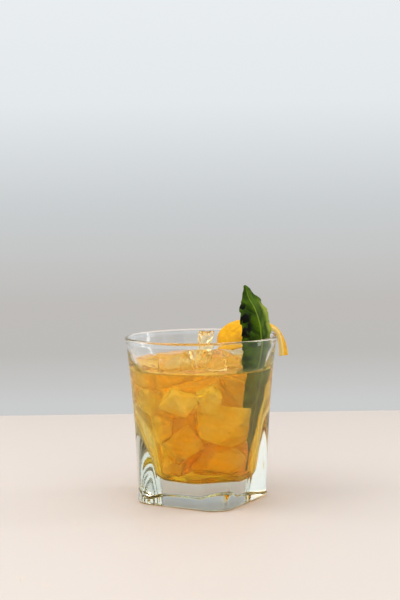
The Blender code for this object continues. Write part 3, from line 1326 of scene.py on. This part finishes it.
@dataclass
class Leaf:
    """Long toothed leaf on a stalk, folded along its rib and crinkled between its veins."""

    midrib_mm: tuple = (
        (17.5, -7, 18.5), (19.5, -7.5, 30), (21.5, -8, 42), (26, -11, 60), (31, -14, 76),
        (33.6, -16, 90), (33.4, -16.5, 100), (30.8, -16, 110), (27.2, -14.5, 117), (25.2, -12.5, 124),
    )
    left_width_mm: tuple = (1.0, 1.0, 5.0, 7.8, 9.8, 12.2, 12.0, 10.2, 4.4, 0.5)
    right_width_mm: tuple = (1.0, 1.0, 5.0, 7.8, 9.2, 10.4, 11.4, 11.8, 9.6, 0.5)
    left_side: tuple = (-0.9, -0.43, 0.0)
    right_side: tuple = (0.57, 0.82, 0.0)
    steps: int = 200
    points_across: int = 33
    blade_thickness: float = 0.55 * MM
    edge_thinness: float = 0.3
    edge_rise: float = 6
    rib_thickness: float = 1.1 * MM
    rib_half_width: float = 0.9 * MM
    stalk_thinness: tuple = (0.25, 0.2)
    fold_reach: float = 4 * MM
    blade_start: float = 3 * MM
    vein_slant: float = 0.6
    ripple: float = 0.5 * MM
    crinkles: tuple = ((6 * MM, 0.5), (2.6 * MM, 0.2))
    vein_pairs: float = 9
    teeth: float = 13
    tooth_depth: float = 0.08
    tooth_bend: float = 1.5
    room_spare: float = 0.6 * MM
    room_steps: int = 40
    room_points: int = 9
    sharp_degrees: float = 60
    finish: LeafFinish = field(default_factory=LeafFinish)

    def swell(self, position: float, share: float, spot: Vector, height: float) -> float:
        """Reads how far the blade bulges between its veins.

        Args:
            position: from 0 at the stalk's end to 1 at the tip.
            share: from -1 at the left edge to 1 at the right.
            spot: the place on the even blade.
            height: how far the blade may bulge there.

        Returns:
            The bulge in metres.
        """
        slanted = position * self.vein_pairs - abs(share) * self.vein_slant
        crinkle = sum(noise.noise(spot / length) * part for length, part in self.crinkles)
        return height * abs(share) * math.sin(2 * math.pi * slanted) + height * crinkle

    def section(self, position: float, grown: float, points_across: int) -> list[Vector]:
        """Draws one cross-section.

        Args:
            position: from 0 at the stalk's end to 1 at the tip.
            grown: metres added all round.
            points_across: points across each face.

        Returns:
            Its points, the face from left to right and then the back.
        """
        left, right = place(*self.left_side).normalized(), place(*self.right_side).normalized()
        level = (right - left).normalized()
        middle, ahead = on_line(self.midrib_mm, position), heading(self.midrib_mm, position)
        front_thin, back_thin = self.stalk_thinness
        face, back = [], []
        for k in range(points_across):
            share = spread(k, points_across)
            half = value_through(self.left_width_mm if share < 0 else self.right_width_mm, position) * MM
            blade = min(1, max(0, half - self.rib_half_width) / self.blade_start)
            half *= 1 - self.tooth_depth * blade * ((position * self.teeth) % 1) ** self.tooth_bend
            offset = (half + grown) * share
            folded = min(1, abs(offset) / self.fold_reach)
            side = level.lerp(left * -1 if share < 0 else right, folded).normalized()
            outward = side.cross(ahead).normalized()
            round_edge = math.sqrt(max(0.0, 1 - share**2))
            flat_edge = min(1, self.edge_thinness + self.edge_rise * (1 - abs(share)))
            thin = flat_edge if blade else max(round_edge, front_thin)
            rib = self.rib_thickness * math.exp(-((half * share / self.rib_half_width) ** 2))
            rib *= 1 if blade else max(round_edge, back_thin)
            thick = self.blade_thickness * thin / 2 + grown
            spot = middle + side * offset
            spot += outward * self.swell(position, share, spot, self.ripple * blade)
            face.append(spot + outward * thick)
            back.append(spot - outward * (thick + rib))
        return face + back[::-1]

    def along(self, section: int, _: int) -> float:
        """Where a point lies from 0 at the stalk's end to 1 at the tip."""
        return section / self.steps

    def across(self, _: int, point: int) -> float:
        """Where a point lies from -1 at the left edge to 1 at the right."""
        return spread(min(point, 2 * self.points_across - 1 - point), self.points_across)

    def behind(self, _: int, point: int) -> float:
        """Whether a point lies on the leaf's back, 1, or on its face, 0."""
        return float(point >= self.points_across)

    def room(self) -> Shape:
        """Draws the space that the leaf takes, with a little to spare.

        Returns:
            The space.
        """
        sections = range(self.room_steps + 1)
        rings = [self.section(i / self.room_steps, self.room_spare, self.room_points) for i in sections]
        shell = rings_to_shell(rings)
        bmesh.ops.triangulate(shell, faces=shell.faces)
        return shell

    def build(self) -> bpy.types.Object:
        """Draws the leaf out from its stalk and keeps, on its points, where each one lies.

        Returns:
            The finished piece.
        """
        rings = [self.section(i / self.steps, 0.0, self.points_across) for i in range(self.steps + 1)]
        shell = rings_to_shell(rings, {"along": self.along, "across": self.across, "back": self.behind})
        piece = finish_piece("leaf_blade", shell, self.finish.material(), self.sharp_degrees)
        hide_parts("leaf")
        return piece


@dataclass
class LemonPeel:
    """Wide strip of peel laid over the rim, zest outwards."""

    line_mm: tuple = (
        (14, 8, 87), (16.5, 9, 91.5), (21.5, 11, 95.8), (29.5, 12.5, 98.8),
        (37.2, 13, 98.6), (43.8, 12.5, 95.6), (47.2, 12, 88.6), (48.2, 11, 81),
    )
    turn_degrees: tuple = (56, 52, 36, 20, 6, 2, 14, 24)
    half_width_mm: tuple = (5.5, 8, 9, 8.4, 7, 6, 5.6, 5)
    thickness: float = 2.4 * MM
    edge_thinness: float = 0.62
    edge_rise: float = 5
    crown: float = 0.7 * MM
    lump_height: float = 0.18 * MM
    lump_length: float = 3 * MM
    bared_from: float = 0.66
    bared_edge: Band = (0.55, 0.3)
    steps: int = 130
    points_across: int = 25
    sharp_degrees: float = 60
    finish: PeelFinish = field(default_factory=PeelFinish)

    def section(self, position: float) -> list[Vector]:
        """Draws one cross-section.

        Args:
            position: from 0 at the strip's end in the glass to 1 at the end that hangs out.

        Returns:
            Its points, the zest from one edge to the other and then the pith.
        """
        here = on_line(self.line_mm, position)
        ahead = heading(self.line_mm, position).normalized()
        back = place(0, 1, 0)
        lateral = (back - ahead * back.dot(ahead)).normalized()
        turn = math.radians(value_through(self.turn_degrees, position))
        lateral = Matrix.Rotation(turn, 3, ahead) @ lateral
        outward = ahead.cross(lateral)
        half = value_through(self.half_width_mm, position) * MM
        zest, pith = [], []
        for k in range(self.points_across):
            share = spread(k, self.points_across)
            rise = min(1, self.edge_rise * (1 - abs(share)))
            edge = self.edge_thinness + (1 - self.edge_thinness) * rise
            spot = here + lateral * half * share + outward * (self.crown * (1 - share**2))
            lump = self.lump_height * noise.noise(spot / self.lump_length)
            zest.append(spot + outward * edge * self.thickness / 2)
            pith.append(spot - outward * (edge * self.thickness / 2 - lump))
        return zest + pith[::-1]

    def pithiness(self, section: int, point: int) -> float:
        """How much pith shows at a point: all inside, and along the cut edge of the end that hangs out.

        Args:
            section: which section along the strip.
            point: which point round the section.

        Returns:
            0 for zest to 1 for pith.
        """
        if point >= self.points_across:
            return 1.0
        start, width = self.bared_edge
        bared = max(0.0, min(1.0, (abs(spread(point, self.points_across)) - start) / width))
        return bared * (section / self.steps > self.bared_from)

    def build(self) -> bpy.types.Object:
        """Draws the strip along its line and marks its pith.

        Returns:
            The finished piece.
        """
        rings = [self.section(i / self.steps) for i in range(self.steps + 1)]
        shell = rings_to_shell(rings, {"pith": self.pithiness})
        piece = finish_piece("lemon_strip", shell, self.finish.material(), self.sharp_degrees)
        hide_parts("lemon_peel")
        return piece


# ---------------------------------------------------------------- the studio


@dataclass(frozen=True)
class Lamp:
    """One soft rectangular lamp that faces the glass, its place given as seen from the front."""

    name: str
    spot: tuple[float, float, float]
    size: tuple[float, float]
    watts: float
    color: Color = (1.0, 1.0, 1.0)
    aim: tuple[float, float, float] = (0, 0, 0.06)

    def hang(self) -> None:
        """Hangs the lamp."""
        data = bpy.data.lights.new(self.name, "AREA")
        data.shape = "RECTANGLE"
        data.size, data.size_y = self.size
        data.energy = self.watts
        data.color = self.color
        obj = bpy.data.objects.new(self.name, data)
        obj.location = place(*self.spot)
        aim = Vector(self.aim) - obj.location
        obj.rotation_euler = aim.to_track_quat("-Z", "Y").to_euler()
        bpy.context.scene.collection.objects.link(obj)


@dataclass
class Studio:
    """Pale table, soft light all round and the camera at the photograph's angle."""

    table_finish: PlainFinish = PlainFinish("pale table", linear(198, 190, 184), 0.55, 0.2)
    table_drop: float = 0.2 * MM
    table_back: float = 310 * MM
    table_front: float = 900 * MM
    table_half_width: float = 900 * MM
    sensor_mm: float = 36
    lens_mm: float = 78.4
    distance: float = 750 * MM
    camera_height: float = 169.7 * MM
    camera_shift: float = -0.25 * MM
    pitch: float = math.radians(4.165)
    roll: float = math.radians(0.8)
    bounces: int = 40
    exposure: float = 0.5
    gamma: float = 0.8
    card_distance: float = 600 * MM
    card_half_width: float = 1400 * MM
    card_bottom: float = -500 * MM
    card_top: float = 600 * MM
    card_tones: tuple = (
        (-500, (208, 208, 208)), (-35, (203, 204, 204)), (17, (190, 188, 185)), (67, (191, 188, 185)),
        (173, (203, 207, 209)), (275, (228, 233, 236)), (378, (233, 237, 240)), (600, (245, 246, 247)),
    )
    sky: tuple = (
        (-1.0, (214, 206, 198)), (-0.165, (192, 191, 192)), (-0.115, (187, 188, 184)),
        (-0.06, (187, 188, 184)), (0.0, (203, 207, 209)), (0.075, (228, 233, 236)),
        (0.15, (234, 238, 241)), (0.5, (250, 250, 250)),
    )
    facing_camera: Band = (-0.1, 0.6)
    sky_strength: Band = (1.0, 1.25)
    lamps: tuple = (
        Lamp("key softbox", (-0.7, -0.3, 0.9), (0.5, 0.5), 1.5, (1.0, 0.98, 0.95)),
        Lamp("back softbox", (0.5, 0.9, 0.7), (0.6, 0.3), 1.2),
        Lamp("left strip", (-0.75, 0.12, 0.3), (0.1, 0.6), 0.8),
        Lamp("right strip", (0.75, 0.12, 0.3), (0.1, 0.6), 0.8),
    )

    def as_seen(self, color: tuple[int, int, int]) -> Color:
        """Works out the light that the camera's exposure and contrast show as a screen colour.

        Args:
            color: the screen colour, 0 to 255.

        Returns:
            The linear colour of that light.
        """
        red, green, blue = (part**self.gamma / 2**self.exposure for part in linear(*color))
        return red, green, blue

    @staticmethod
    def sheet(half_width: float, half_length: float) -> Shape:
        """Draws a level sheet about the origin.

        Args:
            half_width: half its size across.
            half_length: half its size away from the viewer.

        Returns:
            The sheet, not yet turned to the front.
        """
        bm = bmesh.new()
        bmesh.ops.create_grid(bm, x_segments=1, y_segments=1, size=1)
        bmesh.ops.scale(bm, vec=(half_width, half_length, 1), verts=bm.verts)
        return bm

    @staticmethod
    def stand(name: str, bm: Shape, material: bpy.types.Material) -> bpy.types.Object:
        """Turns a piece of the stage to the front and puts it there.

        Args:
            name: the piece's name.
            bm: its shape, which is freed.
            material: what it is dressed in.

        Returns:
            The piece.
        """
        bmesh.ops.rotate(bm, verts=bm.verts, cent=(0, 0, 0), matrix=Matrix.Rotation(VIEW_TURN, 3, "Z"))
        obj = workpiece(name, bm)
        obj.data.materials.append(material)
        return obj

    def table(self) -> bpy.types.Object:
        """Lays the plain pale slab under the glass.

        Returns:
            The slab.
        """
        reach = (self.table_back + self.table_front) / 2
        bm = self.sheet(self.table_half_width, reach)
        bmesh.ops.translate(bm, vec=(0, self.table_back - reach, -self.table_drop), verts=bm.verts)
        return self.stand("table", bm, self.table_finish.material())

    def card_finish(self) -> bpy.types.Material:
        """Puts the card's finish together, which glows in tones that go by height.

        Returns:
            The finished material.
        """
        shader = Shader.begin("backdrop card")
        share = shader.node("ShaderNodeMapRange")
        share.inputs["From Min"].default_value = self.card_bottom
        share.inputs["From Max"].default_value = self.card_top
        shader.feed(shader.height(), share.inputs["Value"])
        tall = self.card_top - self.card_bottom
        tones = []
        for rise, color in self.card_tones:
            tones.append(((rise * MM - self.card_bottom) / tall, self.as_seen(color)))
        glow = tone_ramp(shader.tree, share.outputs["Result"], tones)
        shader.feed(glow, shader.surface.inputs["Emission Color"])
        shader.settle(
            Base_Color=rgba((0, 0, 0)), Roughness=1.0, Specular_IOR_Level=0.0, Emission_Strength=1.0
        )
        return shader.material

    def backdrop(self) -> bpy.types.Object:
        """Stands the plain card behind the table that shades from grey to near white.

        Returns:
            The card.
        """
        tall = (self.card_top - self.card_bottom) / 2
        bm = self.sheet(self.card_half_width, tall)
        bmesh.ops.rotate(bm, verts=bm.verts, cent=(0, 0, 0), matrix=Matrix.Rotation(math.pi / 2, 3, "X"))
        middle = Vector((0, self.card_distance, self.card_bottom + tall))
        bmesh.ops.translate(bm, vec=middle, verts=bm.verts)
        return self.stand("backdrop", bm, self.card_finish())

    def world(self) -> None:
        """Soft daylight: grey at eye level, brighter overhead, and brighter behind the camera."""
        world = bpy.data.worlds.new("studio")
        bpy.context.scene.world = world
        world.use_nodes = True
        nodes, link = world.node_tree.nodes, world.node_tree.links.new
        direction = nodes.new("ShaderNodeTexCoord").outputs["Generated"]
        split = nodes.new("ShaderNodeSeparateXYZ")
        link(direction, split.inputs["Vector"])
        share = nodes.new("ShaderNodeMapRange")
        share.inputs["From Min"].default_value = -1
        link(split.outputs["Z"], share.inputs["Value"])
        tones = [((rise + 1) / 2, linear(*color)) for rise, color in self.sky]
        ramp = tone_ramp(world.node_tree, share.outputs["Result"], tones)
        link(ramp, nodes["Background"].inputs["Color"])
        facing = nodes.new("ShaderNodeVectorMath")
        facing.operation = "DOT_PRODUCT"
        facing.inputs[1].default_value = place(0, -1, 0)
        link(direction, facing.inputs[0])
        strength = nodes.new("ShaderNodeMapRange")
        strength.interpolation_type = "SMOOTHSTEP"
        link(facing.outputs["Value"], strength.inputs["Value"])
        values = (*self.facing_camera, *self.sky_strength)
        for name, value in zip(("From Min", "From Max", "To Min", "To Max"), values):
            strength.inputs[name].default_value = value
        link(strength.outputs["Result"], nodes["Background"].inputs["Strength"])

    def camera(self) -> None:
        """Stands the camera where the photograph was taken from."""
        data = bpy.data.cameras.new("camera")
        data.sensor_width = self.sensor_mm
        data.lens = self.lens_mm
        obj = bpy.data.objects.new("camera", data)
        obj.location = place(self.camera_shift, -self.distance, self.camera_height)
        look = place(0, math.cos(self.pitch), -math.sin(self.pitch))
        turn = look.to_track_quat("-Z", "Y") @ Quaternion((0, 0, 1), -self.roll)
        obj.rotation_euler = turn.to_euler()
        bpy.context.scene.collection.objects.link(obj)
        bpy.context.scene.camera = obj

    def layers_of_light(self) -> None:
        """Lets light through as many layers as glass, drink and ice have, and sets how it is shown."""
        scene = bpy.context.scene
        scene.view_settings.view_transform = "Standard"
        scene.view_settings.exposure = self.exposure
        scene.view_settings.gamma = self.gamma
        scene.cycles.max_bounces = self.bounces
        scene.cycles.transmission_bounces = self.bounces
        scene.cycles.glossy_bounces = self.bounces
        scene.cycles.diffuse_bounces = self.bounces
        scene.cycles.caustics_reflective = True
        scene.cycles.caustics_refractive = True
        scene.cycles.blur_glossy = 0.0
        scene.cycles.sample_clamp_indirect = 0.0

    def build(self) -> None:
        """Sets up table, card, light and camera."""
        for piece in (self.table(), self.backdrop()):
            log.info("stage: %s", piece.name)
        self.world()
        for lamp in self.lamps:
            lamp.hang()
        self.camera()
        self.layers_of_light()


# ---------------------------------------------------------------- all of it


def main() -> None:
    """Builds every piece in order and notes their names."""
    logging.basicConfig(level=logging.INFO, format="%(name)s: %(message)s")
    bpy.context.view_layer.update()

    glass = Tumbler()
    log.info("tumbler: %s", glass.build().name)
    leaf = Leaf()
    log.info("leaf: %s", leaf.build().name)
    log.info("peel: %s", LemonPeel().build().name)
    blocks, cutters = Ice(glass).build(leaf.room())
    for block in blocks:
        log.info("ice: %s", block.name)
    log.info("drink: %s", Drink(glass).build(cutters).name)
    Studio().build()


if __name__ == "__main__":
    main()
